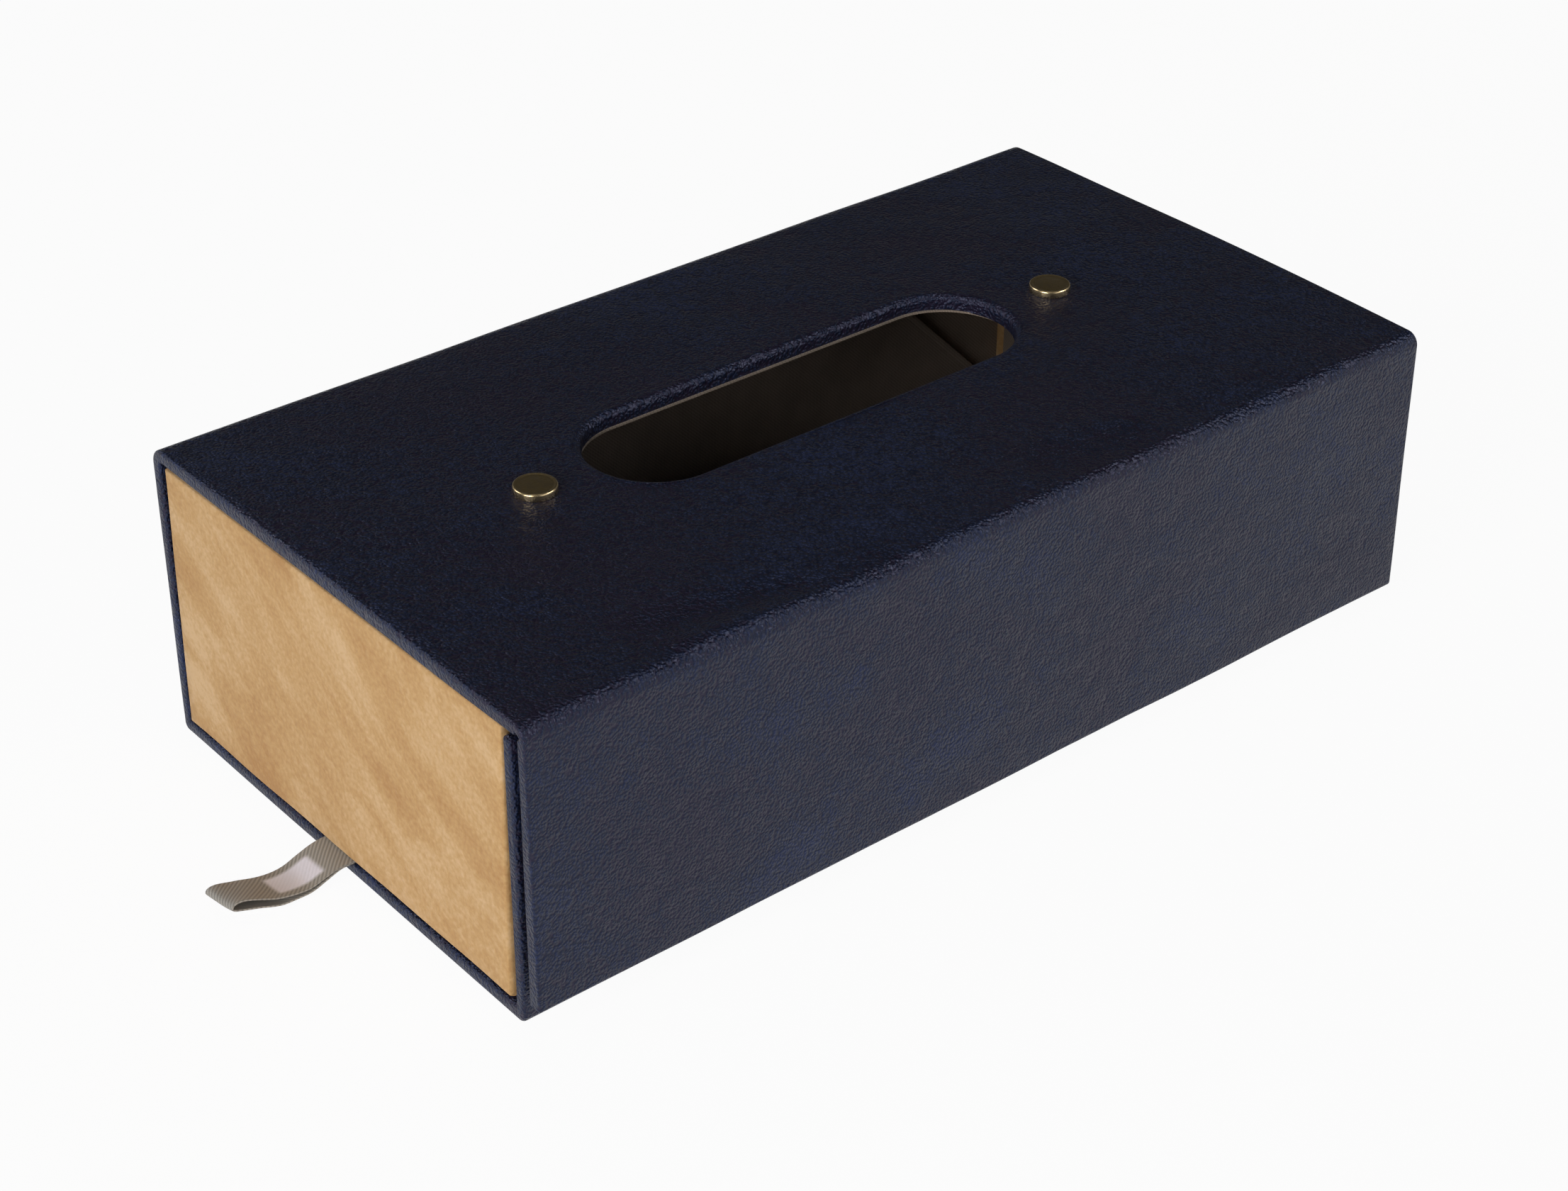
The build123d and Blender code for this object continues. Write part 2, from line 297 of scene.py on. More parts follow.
def slice_at(piece: bpy.types.Object, axis: Axis, place: float) -> None:
    """Cut a mesh through with a plane across an axis.

    Args:
        piece: The object to cut.
        axis: The axis.
        place: Where on the axis, in millimetres.
    """
    way = [0.0, 0.0, 0.0]
    way[axis] = 1.0
    with editing(piece, Kind.FACE):
        bpy.ops.mesh.select_all(action="SELECT")
        bpy.ops.mesh.bisect(plane_co=Vector(way) * place * MM, plane_no=way)


def round_edges(piece: bpy.types.Object, wanted: Test, width: float, segments: int) -> None:
    """Bevel the edges that pass a test.

    Args:
        piece: The object to shape.
        wanted: Says yes to the edges.
        width: Bevel width in millimetres.
        segments: Steps across the bevel.
    """
    with editing(piece):
        pick(piece, Kind.EDGE, wanted)
        bpy.ops.mesh.bevel(offset=width * MM, segments=segments, affect="EDGES")


def move_points(piece: bpy.types.Object, place: Callable[[np.ndarray], np.ndarray]) -> None:
    """Move all of a mesh's vertices by a rule.

    Args:
        piece: The object to change.
        place: Takes the points in millimetres and gives the new ones.
    """
    count = len(piece.data.vertices)
    flat = np.empty(count * 3, np.float32)
    piece.data.vertices.foreach_get("co", flat)
    points = place(flat.reshape(-1, 3).astype(float) / MM) * MM
    piece.data.vertices.foreach_set("co", points.astype(np.float32).ravel())
    piece.data.update()


def make_uneven(piece: bpy.types.Object, height: float, wave: float, seed: float) -> None:
    """Give a hand-covered surface its slight unevenness.

    Args:
        piece: The object to change.
        height: Whole height of the unevenness, in millimetres.
        wave: How far apart its hills lie, in millimetres.
        seed: Sets one pattern apart from the next.
    """
    points = np.array([v.co for v in piece.data.vertices], float) / MM
    normals = np.array([v.normal for v in piece.data.vertices], float)
    rise = swell(points, wave, seed) * height / 2
    move_points(piece, lambda p: p + normals * rise[:, None])


def swell(points: np.ndarray, wave: float, seed: float) -> np.ndarray:
    """A smooth wandering value from -1 to 1, made of a few crossing waves.

    Args:
        points: Points in millimetres.
        wave: The longest wave's length in millimetres.
        seed: Sets one pattern apart from the next.

    Returns:
        One value for each point.
    """
    random = np.random.default_rng(int(seed * 1000))
    total = np.zeros(len(points))
    weights = 0.0
    for _ in range(9):
        way = random.normal(size=3)
        way /= np.linalg.norm(way)
        length = wave * random.uniform(0.45, 1.0)
        weight = length / wave
        total += weight * np.sin(points @ way * 2 * math.pi / length + random.uniform(0, 6.3))
        weights += weight * weight
    return np.clip(total / math.sqrt(weights * 2), -1, 1)


def smooth(piece: bpy.types.Object, angle: float = 38.0) -> None:
    """Shade an object smooth, with corners sharper than an angle kept."""
    select_only(piece)
    bpy.ops.object.shade_smooth_by_angle(angle=math.radians(angle))


def face_outwards(piece: bpy.types.Object) -> None:
    """Merge doubles and turn every face outwards.

    Args:
        piece: The object to mend.
    """
    with editing(piece, Kind.FACE):
        bpy.ops.mesh.select_all(action="SELECT")
        bpy.ops.mesh.remove_doubles(threshold=0.002 * MM)
        bpy.ops.mesh.normals_make_consistent(inside=False)


def close_holes(piece: bpy.types.Object) -> None:
    """Fill every open border.

    Args:
        piece: The object to close.
    """
    with editing(piece):
        bpy.ops.mesh.select_non_manifold(extend=False, use_wire=False, use_multi_face=False)
        bpy.ops.mesh.fill_holes(sides=0)


def dress(piece: bpy.types.Object, finish: bpy.types.Material) -> None:
    """Give a piece one finish all over.

    Args:
        piece: The object to dress.
        finish: Its material.
    """
    piece.data.materials.clear()
    piece.data.materials.append(finish)


def report(piece: bpy.types.Object) -> None:
    """Log a finished piece."""
    size = [round(x / MM, 1) for x in piece.dimensions]
    log.info("%s: %d faces, %s mm", piece.name, len(piece.data.polygons), size)


# ---------------------------------------------------------------- finishes


@dataclass
class NodeBench:
    """A node tree being made, of a material or of the surroundings."""

    owner: bpy.types.ID

    def __post_init__(self) -> None:
        """Start with an empty tree."""
        self.owner.use_nodes = True
        self.tree = self.owner.node_tree
        self.tree.nodes.clear()

    @classmethod
    def material(cls, name: str) -> "NodeBench":
        """Start a new material."""
        return cls(bpy.data.materials.new(name))

    def add(self, kind: str, links: dict | None = None, **settings: object) -> bpy.types.Node:
        """Add a node with its settings, input values and links.

        Args:
            kind: The node's type, without the leading ShaderNode.
            links: Input name or number to another node's output, or to a plain value.
            settings: The node's own properties.

        Returns:
            The new node.
        """
        node = self.tree.nodes.new("ShaderNode" + kind)
        for name, value in settings.items():
            setattr(node, name, value)
        for name, value in (links or {}).items():
            if isinstance(value, bpy.types.NodeSocket):
                self.tree.links.new(value, node.inputs[name])
            else:
                node.inputs[name].default_value = value
        return node

    def ramp(
        self, value: bpy.types.NodeSocket, stops: list[tuple[float, str]]
    ) -> bpy.types.NodeSocket:
        """Add a colour ramp.

        Args:
            value: What runs along the ramp.
            stops: Place along the ramp and hex colour, in order.

        Returns:
            The ramp's colour output.
        """
        node = self.add("ValToRGB", {"Fac": value})
        elements = node.color_ramp.elements
        while len(elements) < len(stops):
            elements.new(1.0)
        for element, (place, code) in zip(elements, stops):
            element.position = place
            element.color = colour(code)
        return node.outputs["Color"]

    def weigh(self, *parts: tuple[bpy.types.NodeSocket, float]) -> bpy.types.NodeSocket:
        """Add several values up, each times its weight.

        Args:
            parts: Each value with its weight.

        Returns:
            The sum.
        """
        shares = [
            self.add("Math", {0: value, 1: weight}, operation="MULTIPLY").outputs[0]
            for value, weight in parts
        ]
        total = shares[0]
        for share in shares[1:]:
            total = self.add("Math", {0: total, 1: share}, operation="ADD").outputs[0]
        return total

    def place(
        self, stretch: Point = (1, 1, 1), turn: Point = (0, 0, 0)
    ) -> bpy.types.NodeSocket:
        """Add object coordinates for a pattern.

        Args:
            stretch: How many times longer the pattern is along each turned axis.
            turn: How far the axes are turned, in degrees.

        Returns:
            The coordinates.
        """
        coordinates = self.add("TexCoord").outputs["Object"]
        angles = tuple(math.radians(a) for a in turn)
        links = {"Vector": coordinates, "Scale": stretch, "Rotation": angles}
        return self.add("Mapping", links, vector_type="TEXTURE").outputs["Vector"]

    def finish(self, looks: dict, relief: tuple | None = None) -> bpy.types.Material:
        """Add the surface shader and end the material.

        Args:
            looks: The shader's inputs.
            relief: A bump's height, strength and depth in millimetres, if there is one.

        Returns:
            The material.
        """
        if relief:
            height, strength, depth = relief
            bump = self.add(
                "Bump", {"Height": height, "Strength": strength, "Distance": depth * MM}
            )
            looks = {**looks, "Normal": bump.outputs["Normal"]}
        return self.end(self.add("BsdfPrincipled", looks).outputs["BSDF"])

    def end(self, shader: bpy.types.NodeSocket) -> bpy.types.Material:
        """Link the surface and give the finished material."""
        self.add("OutputMaterial", {"Surface": shader})
        return self.owner


@dataclass(frozen=True)
class PebbledLeather:
    """Polyurethane leather, embossed with a pebble grain on a knitted back.

    The emboss gives small rounded pebbles, three quarters of a millimetre across, that catch the
    light one by one. The top coat clouds slightly from blue to violet where it was rubbed.
    """

    base: str = "#171e36"
    deep: str = "#0f1526"
    light: str = "#1e2848"
    violet: str = "#1f192a"
    gloss: str = "#bdc6ee"
    pebble: float = 0.75
    drift: float = 1.1
    grain_height: float = 0.55
    roughness: float = 0.42
    specular: float = 0.45

    def build(self) -> bpy.types.Material:
        """Make the material.

        Returns:
            The material.
        """
        bench = NodeBench.material("embossed_navy_polyurethane_leather")
        place = bench.place()
        drift = bench.add("TexNoise", {"Vector": place, "Scale": 420.0, "Detail": 2.0})
        shifted = bench.add(
            "VectorMath",
            {0: drift.outputs["Color"], 1: (self.drift * MM,) * 3},
            operation="MULTIPLY",
        )
        wandering = bench.add(
            "VectorMath", {0: place, 1: shifted.outputs[0]}, operation="ADD"
        ).outputs[0]
        pebbles = bench.add(
            "TexVoronoi",
            {"Vector": wandering, "Scale": 1 / (self.pebble * MM), "Randomness": 1.0},
            feature="SMOOTH_F1",
        )
        pebbles.inputs["Smoothness"].default_value = 0.35
        domes = pebbles.outputs["Distance"]
        creases = bench.add(
            "TexNoise",
            {"Vector": wandering, "Scale": 260.0, "Detail": 5.0, "Roughness": 0.6},
        ).outputs["Fac"]
        waves = bench.add(
            "TexNoise",
            {"Vector": bench.place((1, 2.4, 1), (0, 0, -35)), "Scale": 70.0, "Detail": 4.0},
        ).outputs["Fac"]
        clouds = bench.add(
            "TexNoise",
            {"Vector": bench.place((1, 1.8, 1), (0, 0, -35)), "Scale": 34.0, "Detail": 6.0,
             "Roughness": 0.62},
        ).outputs["Fac"]
        # The navy is painted darker in the hollows between the pebbles (domes at -0.5): painted
        # shade in the grain. The clouds and creases are the leather's own tone.
        navy = bench.ramp(
            bench.weigh((clouds, 0.8), (domes, -0.5), (creases, 0.45)),
            [(0.28, self.violet), (0.36, self.deep), (0.50, self.base), (0.62, self.light)],
        )
        worn = bench.add(
            "MapRange",
            {"Value": creases, "From Min": 0.3, "From Max": 0.7,
             "To Min": self.roughness - 0.07, "To Max": self.roughness + 0.09},
        ).outputs["Result"]
        height = bench.weigh((domes, -0.62), (creases, 0.55), (waves, 1.5))
        return bench.finish(
            {"Base Color": navy, "Roughness": worn, "IOR": 1.5,
             "Specular IOR Level": self.specular, "Specular Tint": colour(self.gloss)},
            relief=(height, 1.0, self.grain_height),
        )


@dataclass(frozen=True)
class BuffedTanLeather:
    """Polyurethane leather with a buffed, nubuck-like face.

    The buffing leaves a matte tan with a fine grain and broad lighter streaks that run
    diagonally down the panel.
    """

    base: str = "#c9a06b"
    light: str = "#dab688"
    dark: str = "#b98c58"
    grain: float = 1.1
    grain_height: float = 0.24

    def build(self) -> bpy.types.Material:
        """Make the material.

        Returns:
            The material.
        """
        bench = NodeBench.material("buffed_tan_polyurethane_leather")
        streaks = bench.add(
            "TexNoise",
            {"Vector": bench.place((3.2, 1, 1), (0, 32, 0)), "Scale": 70.0, "Detail": 5.0,
             "Roughness": 0.55, "Distortion": 0.4},
        ).outputs["Fac"]
        clouds, speck = (
            bench.add(
                "TexNoise", {"Vector": bench.place(), "Scale": scale, "Detail": 3.0}
            ).outputs["Fac"]
            for scale in (34.0, 900.0)
        )
        tan = bench.ramp(
            bench.weigh((streaks, 0.55), (clouds, 0.2), (speck, 0.25)),
            [(0.40, self.dark), (0.50, self.base), (0.60, self.light)],
        )
        pebbles = bench.add(
            "TexVoronoi",
            {"Vector": bench.place(), "Scale": 1 / (self.grain * MM), "Randomness": 1.0},
            feature="SMOOTH_F1",
        ).outputs["Distance"]
        height = bench.weigh((pebbles, -0.5), (speck, 0.6), (streaks, 0.8))
        return bench.finish(
            {"Base Color": tan, "Roughness": 0.72, "IOR": 1.5, "Specular IOR Level": 0.3,
             "Sheen Weight": 0.12, "Sheen Roughness": 0.5},
            relief=(height, 1.0, self.grain_height),
        )


@dataclass(frozen=True)
class BookCloth:
    """Paper-backed woven bookcloth, plain weave, glued to board.

    The threads give a fine even tooth, drawn at 0.5 mm so that it still shows.
    """

    name: str
    thread_light: str
    thread_dark: str
    pitch: float = 0.5

    def build(self) -> bpy.types.Material:
        """Make the material.

        Returns:
            The material.
        """
        bench = NodeBench.material(self.name)
        place = bench.place()
        across, along = (
            bench.add(
                "TexWave",
                {"Vector": place, "Scale": 1 / (self.pitch * MM) / BANDS, "Distortion": 0.6,
                 "Detail": 1.0, "Detail Scale": 1.5},
                bands_direction=way,
            ).outputs["Fac"]
            for way in ("Y", "DIAGONAL")
        )
        slub = bench.add(
            "TexNoise", {"Vector": place, "Scale": 130.0, "Detail": 4.0}
        ).outputs["Fac"]
        threads = bench.weigh((across, 0.3), (along, 0.3), (slub, 0.4))
        cloth = bench.ramp(threads, [(0.25, self.thread_dark), (0.75, self.thread_light)])
        return bench.finish(
            {"Base Color": cloth, "Roughness": 0.85, "Specular IOR Level": 0.2,
             "Sheen Weight": 0.1},
            relief=(threads, 0.8, 0.06),
        )


@dataclass(frozen=True)
class TwillRibbon:
    """Woven polyester ribbon, grey-khaki twill, with a paler plain patch woven in.

    Its diagonal ribs lie 0.6 mm apart, and the patch has the same weave without the dark yarn.
    """

    yarn: str = "#aca79e"
    shade: str = "#817c75"
    pale: str = "#f0edf8"
    pitch: float = 0.6
    yarn_pitch: float = 0.45
    patch_blur: float = 0.8
    patch_inset: tuple[float, float] = (1.6, 2.6)

    def build(
        self, width: float, length: float, patch: tuple[float, float]
    ) -> bpy.types.Material:
        """Make the material.

        Args:
            width: Ribbon width in millimetres, across U.
            length: Ribbon length in millimetres, along V.
            patch: Where the pale patch starts and ends along the ribbon, in millimetres.

        Returns:
            The material.
        """
        bench = NodeBench.material("woven_polyester_twill")
        uv = bench.add("UVMap").outputs["UV"]
        sized = bench.add(
            "VectorMath", {0: uv, 1: (width, length, 1.0)}, operation="MULTIPLY"
        ).outputs[0]
        parts = bench.add("SeparateXYZ", {"Vector": sized})
        rib = bench.add(
            "TexWave",
            {"Vector": sized, "Scale": 1 / self.pitch / BANDS, "Distortion": 0.3},
            bands_direction="DIAGONAL",
        ).outputs["Fac"]
        yarns = bench.add(
            "TexWave", {"Vector": sized, "Scale": 1 / self.yarn_pitch / BANDS},
            bands_direction="X",
        ).outputs["Fac"]
        weave = bench.weigh((rib, 0.7), (yarns, 0.3))
        plain = bench.ramp(weave, [(0.2, self.shade), (0.8, self.yarn)])
        rise, fall = (
            bench.add(
                "MapRange",
                {"Value": parts.outputs["Y"], "From Min": place - blur, "From Max": place + blur},
                interpolation_type="SMOOTHSTEP",
            ).outputs["Result"]
            for place, blur in zip(patch, (self.patch_blur, -self.patch_blur))
        )
        inset = bench.add(
            "Math", {0: parts.outputs["X"], 1: width / 2}, operation="SUBTRACT"
        ).outputs[0]
        off = bench.add("Math", {0: inset}, operation="ABSOLUTE").outputs[0]
        outer, inner = (width / 2 - edge for edge in self.patch_inset)
        inside = bench.add(
            "MapRange", {"Value": off, "From Min": outer, "From Max": inner}
        ).outputs["Result"]
        mask = rise
        for part in (fall, inside):
            mask = bench.add("Math", {0: mask, 1: part}, operation="MULTIPLY").outputs[0]
        tone = bench.add(
            "Mix", {0: mask, 6: plain, 7: colour(self.pale)}, data_type="RGBA"
        ).outputs[2]
        return bench.finish(
            {"Base Color": tone, "Roughness": 0.62, "Sheen Weight": 0.25},
            relief=(weave, 0.9, 0.08),
        )


@dataclass(frozen=True)
class AgedBrass:
    """Brass, stamped and chemically aged, with a mottled dark tone.

    The dark tone is mottled at random, and faces that point up, the flat top most, are painted
    dark as well: a painted dark reflection. Edges show the bare metal.
    """

    bare: str = "#d2bb92"
    patina_and_painted_reflection: str = "#85734f"

    def build(self) -> bpy.types.Material:
        """Make the material.

        Returns:
            The material.
        """
        bench = NodeBench.material("aged_stamped_brass")
        place = bench.place()
        wear = bench.add(
            "TexNoise", {"Vector": place, "Scale": 700.0, "Detail": 5.0}
        ).outputs["Fac"]
        facing = bench.add(
            "SeparateXYZ", {"Vector": bench.add("TexCoord").outputs["Normal"]}
        ).outputs["Z"]
        # Faces that point up get up to 0.75 of the dark tone: painted dark reflection on the
        # cap's top. The mottled wear below is the metal's own.
        flat = bench.add(
            "MapRange",
            {"Value": facing, "From Min": 0.55, "From Max": 0.97, "To Min": 0.0, "To Max": 0.75},
        ).outputs["Result"]
        mottled = bench.add(
            "MapRange",
            {"Value": wear, "From Min": 0.35, "From Max": 0.65,
             "To Min": -0.22, "To Max": 0.22},
        ).outputs["Result"]
        amount = bench.add(
            "Math", {0: flat, 1: mottled}, operation="ADD", use_clamp=True
        ).outputs[0]
        tone = bench.add(
            "Mix", {0: amount, 6: colour(self.bare), 7: colour(self.patina_and_painted_reflection)}, data_type="RGBA"
        ).outputs[2]
        rough = bench.add(
            "MapRange", {"Value": amount, "To Min": 0.24, "To Max": 0.46}
        ).outputs["Result"]
        return bench.finish(
            {"Base Color": tone, "Metallic": 1.0, "Roughness": rough}, relief=(wear, 0.5, 0.03)
        )


@dataclass(frozen=True)
class GreyBoard:
    """Pressed grey board, made from waste paper, with flecks in its face."""

    light: str = "#8f8678"
    dark: str = "#6f675b"

    def build(self) -> bpy.types.Material:
        """Make the material.

        Returns:
            The material.
        """
        bench = NodeBench.material("pressed_grey_board")
        fleck = bench.add(
            "TexNoise", {"Vector": bench.place(), "Scale": 380.0, "Detail": 6.0}
        ).outputs["Fac"]
        tone = bench.ramp(fleck, [(0.35, self.dark), (0.65, self.light)])
        return bench.finish(
            {"Base Color": tone, "Roughness": 0.9, "Specular IOR Level": 0.2},
            relief=(fleck, 0.6, 0.05),
        )


@dataclass(frozen=True)
class NickelPlate:
    """Nickel-plated sintered magnet, tumbled, with a soft grey shine."""

    tone: str = "#b4b5b8"

    def build(self) -> bpy.types.Material:
        """Make the material.

        Returns:
            The material.
        """
        bench = NodeBench.material("nickel_plated_magnet")
        grain = bench.add("TexNoise", {"Vector": bench.place(), "Scale": 900.0, "Detail": 3.0})
        rough = bench.add(
            "MapRange", {"Value": grain.outputs["Fac"], "To Min": 0.22, "To Max": 0.38}
        ).outputs["Result"]
        return bench.finish(
            {"Base Color": colour(self.tone), "Metallic": 1.0, "Roughness": rough}
        )


@dataclass
class Finishes:
    """Every finish on the box, each made once."""

    navy: bpy.types.Material = field(init=False)
    tan: bpy.types.Material = field(init=False)
    lining: bpy.types.Material = field(init=False)
    tray: bpy.types.Material = field(init=False)
    brass: bpy.types.Material = field(init=False)
    board: bpy.types.Material = field(init=False)
    magnet: bpy.types.Material = field(init=False)

    def __post_init__(self) -> None:
        """Build the materials."""
        self.navy = PebbledLeather().build()
        self.tan = BuffedTanLeather().build()
        self.lining = BookCloth("woven_taupe_bookcloth", "#968779", "#73665a").build()
        self.tray = BookCloth("woven_brown_bookcloth", "#948578", "#6f6359").build()
        self.brass = AgedBrass().build()
        self.board = GreyBoard().build()
        self.magnet = NickelPlate().build()


# ---------------------------------------------------------------- the case


@dataclass
class CaseWrap:
    """The leather round the base, the back wall and the inner side wall."""

    finishes: Finishes
    lining_step: float = 0.3
    back_seam: float = 67.5
    side_cover: float = 0.8
    base_fold: float = 2.0
    edge_round: float = 0.9

    def build(self) -> bpy.types.Object:
        """Model the U of base and walls, with soft edges.

        Returns:
            The leather piece.
        """
        low, high = (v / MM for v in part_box("case_leather"))
        lining_low, lining_high = (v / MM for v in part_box("case_lining"))
        inner_x0 = lining_low.x + self.lining_step
        inner_x1 = lining_high.x - self.lining_step
        floor = lining_low.z + self.lining_step
        side_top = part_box("side_board")[1].z / MM + self.side_cover
        piece = add_block("case_wrap", (low.x, low.y, 0), (high.x, high.y, floor))
        slice_at(piece, Axis.X, inner_x0)
        slice_at(piece, Axis.X, inner_x1)
        walls = (
            (lambda x: x < inner_x0, self.back_seam),
            (lambda x: x > inner_x1, side_top),
        )
        for belongs, top in walls:
            with editing(piece, Kind.FACE):
                pick(
                    piece,
                    Kind.FACE,
                    lambda f: f.normal.z > ALONG and belongs(f.calc_center_median().x / MM),
                )
                extrude_up(top - floor)
        face_outwards(piece)
        round_edges(
            piece,
            lambda e: runs_along(e, Axis.Y) and middle(e).z < NEAR and is_crisp(e),
            width=self.base_fold,
            segments=7,
        )
        round_edges(
            piece,
            lambda e: is_crisp(e) and not lies_at(e, Axis.Z, self.back_seam),
            width=self.edge_round,
            segments=4,
        )
        for axis, cuts in ((Axis.Y, 60), (Axis.Z, 14), (Axis.X, 24)):
            cut_across(piece, axis, cuts)
        make_uneven(piece, height=0.16, wave=55.0, seed=1.3)
        smooth(piece)
        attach(piece, Body.CASE.value)
        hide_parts("case_leather")
        dress(piece, self.finishes.navy)
        return piece


@dataclass
class Panel:
    """A leather-covered board that closes an end, with its edges turned in."""

    name: str
    node: str
    body: Body
    finishes: Finishes
    faces_front: bool
    lean: float = 0.0
    droop: float = 0.0
    lining_step: float = 0.15
    edge_round: float = 0.8
    back_round: float = 0.4

    def build(self) -> bpy.types.Object:
        """Model the panel.

        Returns:
            The leather piece.
        """
        low, high = (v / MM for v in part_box(self.node))
        if self.faces_front:
            high.y -= self.lining_step
        else:
            low.y += self.lining_step
        piece = add_block(self.name, tuple(low), tuple(high))
        outer = low.y if self.faces_front else high.y
        round_edges(
            piece, lambda e: lies_at(e, Axis.Y, outer), width=self.edge_round, segments=4
        )
        round_edges(
            piece,
            lambda e: is_crisp(e, 80) and abs(middle(e).y - outer * MM) > 2 * MM,
            width=self.back_round,
            segments=2,
        )
        cut_across(piece, Axis.X, 36)
        cut_across(piece, Axis.Z, 20)
        make_uneven(piece, height=0.22, wave=42.0, seed=4.1 if self.faces_front else 5.7)
        middle_z, half_x = (low.z + high.z) / 2, (high.x - low.x) / 2

        def set_askew(points: np.ndarray) -> np.ndarray:
            """Lean the outer face back at its top and let one side hang lower.

            Args:
                points: The panel's points in millimetres.

            Returns:
                The moved points.
            """
            moved = points.copy()
            face = np.clip(1 - abs(points[:, 1] - outer), 0, 1)
            moved[:, 1] += face * self.lean * (points[:, 2] - middle_z) / middle_z
            moved[:, 2] += self.droop * points[:, 0] / half_x
            return moved

        move_points(piece, set_askew)
        smooth(piece)
        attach(piece, self.body.value)
        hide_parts(self.node)
        dress(piece, self.finishes.tan)
        return piece


# ---------------------------------------------------------------- the cover


@dataclass(frozen=True)
class Dent:
    """A soft hollow or swelling of the leather, long in one direction."""

    start: Point
    end: Point
    reach: float
    push: Point


@dataclass
class Cover:
    """Lid, flap and the two folds: one leather-covered sheet, modelled whole and then cut.

    The lid and the flap ride on their bodies; the folds are not attached to any.
    """

    finishes: Finishes
    thick: float = 3.1
    flap_thick: float = 2.7
    fold_thick: float = 1.9
    edge_round: float = 0.7
    crown: float = 0.8
    padding: float = 1.2
    dent_floor: float = 2.2
    dent_fade: float = 1.2
    fold_taper: float = 0.2
    flare: float = 1.2
    back_seam: float = 67.5
    lid_seam_back: float = -63.5
    lid_seam_front: float = 65.6
    flap_seam: float = 70.8
    slot_place: tuple[float, float] = (-1.1, 0.2)
    slot_length: float = 119.8
    slot_width: float = 33.4
    slot_lip: float = 1.8
    slot_end_points: int = 96
    slot_side_cuts: int = 24
    lined_to: float = 128.0
    front_fold: tuple[float, float] = field(init=False)
    front_radius: float = field(init=False)
    back_fold: tuple[float, float] = field(init=False)
    top: float = field(init=False)
    mid_x: float = field(init=False)
    half: float = field(init=False)
    lip: bpy.types.Object = field(init=False)
    dents: tuple[Dent, ...] = (
        Dent((57, -90, 76), (63, -60, 76), 7.0, (0, 0, -0.5)),
        Dent((66, -86, 76), (67, -60, 76), 6.0, (0.3, 0, 0.7)),
        Dent((68, -50, 76), (68, -36, 76), 9.0, (-0.3, 0, -0.3)),
        Dent((60, 20, 76), (63, 42, 76), 10.0, (0, 0, -0.45)),
        Dent((68, 66, 76), (68, 84, 76), 12.0, (-0.3, 0, -0.35)),
        Dent((67, -116, 76), (68, -102, 76), 8.0, (0.2, 0, 0.3)),
    )

    def build(self) -> list[bpy.types.Object]:
        """Model the sheet, cut it at its seams and let the lid and the flap ride on their bodies.

        Returns:
            The lid, flap, front fold and back fold.
        """
        sheet = self.fold_sheet()
        self.cut_slot(sheet)
        self.shape(sheet)
        return self.part(sheet)

    def fold_sheet(self) -> bpy.types.Object:
        """Fold a slab into lid, flap and back edge.

        Returns:
            The closed sheet, with its ends rounded and divided for shaping.
        """
        lid_low, lid_high = (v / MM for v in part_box("lid_leather"))
        flap_low, flap_high = (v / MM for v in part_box("flap_leather"))
        back_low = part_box("back_hinge_leather")[0] / MM
        top = lid_high.z - self.crown
        self.front_fold = (lid_high.x, flap_high.z)
        self.front_radius = flap_high.x - lid_high.x
        self.back_fold = (lid_low.x, back_low.z)
        self.top = top
        self.mid_x = (lid_low.x + lid_high.x) / 2
        self.half = (lid_high.x - lid_low.x) / 2
        sheet = add_block(
            "cover", (lid_low.x, lid_low.y, top - self.thick), (lid_high.x, lid_high.y, top)
        )
        folds = (
            (self.front_fold, 1, 12, flap_low.z, -90.0),
            (self.back_fold, -1, 8, self.back_seam, 90.0),
        )
        for (x, z), side, steps, foot, angle in folds:
            with editing(sheet, Kind.FACE):
                pick(
                    sheet,
                    Kind.FACE,
                    lambda f: f.normal.x * side > ALONG
                    and abs(f.calc_center_median().x / MM - x) < NEAR / MM,
                )
                bpy.ops.mesh.spin(
                    steps=steps,
                    angle=math.radians(angle),
                    center=mm((x, 0, z)),
                    axis=(0, 1, 0),
                )
                extrude_up(foot - z)
        with editing(sheet, Kind.FACE):
            bpy.ops.mesh.select_interior_faces()
            bpy.ops.mesh.delete(type="FACE")
        face_outwards(sheet)
        move_points(sheet, self.thin_fold)
        end = lid_high.y * MM

        def outline(edge: object) -> bool:
            """Whether an edge is an end's outline or one of the flap's lower edges.

            Args:
                edge: The edge.

            Returns:
                True if it is, and doesn't lie in the back seam.
            """
            crisp = is_crisp(edge, 50)
            at_end = all(abs(abs(v.co.y) - end) < NEAR for v in edge.verts)
            if lies_at(edge, Axis.Z, self.back_seam) or not (crisp or at_end):
                return False
            normals = [abs(f.normal.y) for f in edge.link_faces]
            low_down = middle(edge).z < 10 * MM
            return max(normals) > ALONG > min(normals) or (crisp and low_down)

        round_edges(sheet, outline, width=self.edge_round, segments=4)
        for place in (self.lid_seam_back, self.lid_seam_front):
            slice_at(sheet, Axis.X, place)
        slice_at(sheet, Axis.Z, self.flap_seam)
        for axis, cuts, least in ((Axis.Y, 90, 100), (Axis.X, 36, 60), (Axis.Z, 18, 30)):
            cut_across(sheet, axis, cuts, least)
        return sheet

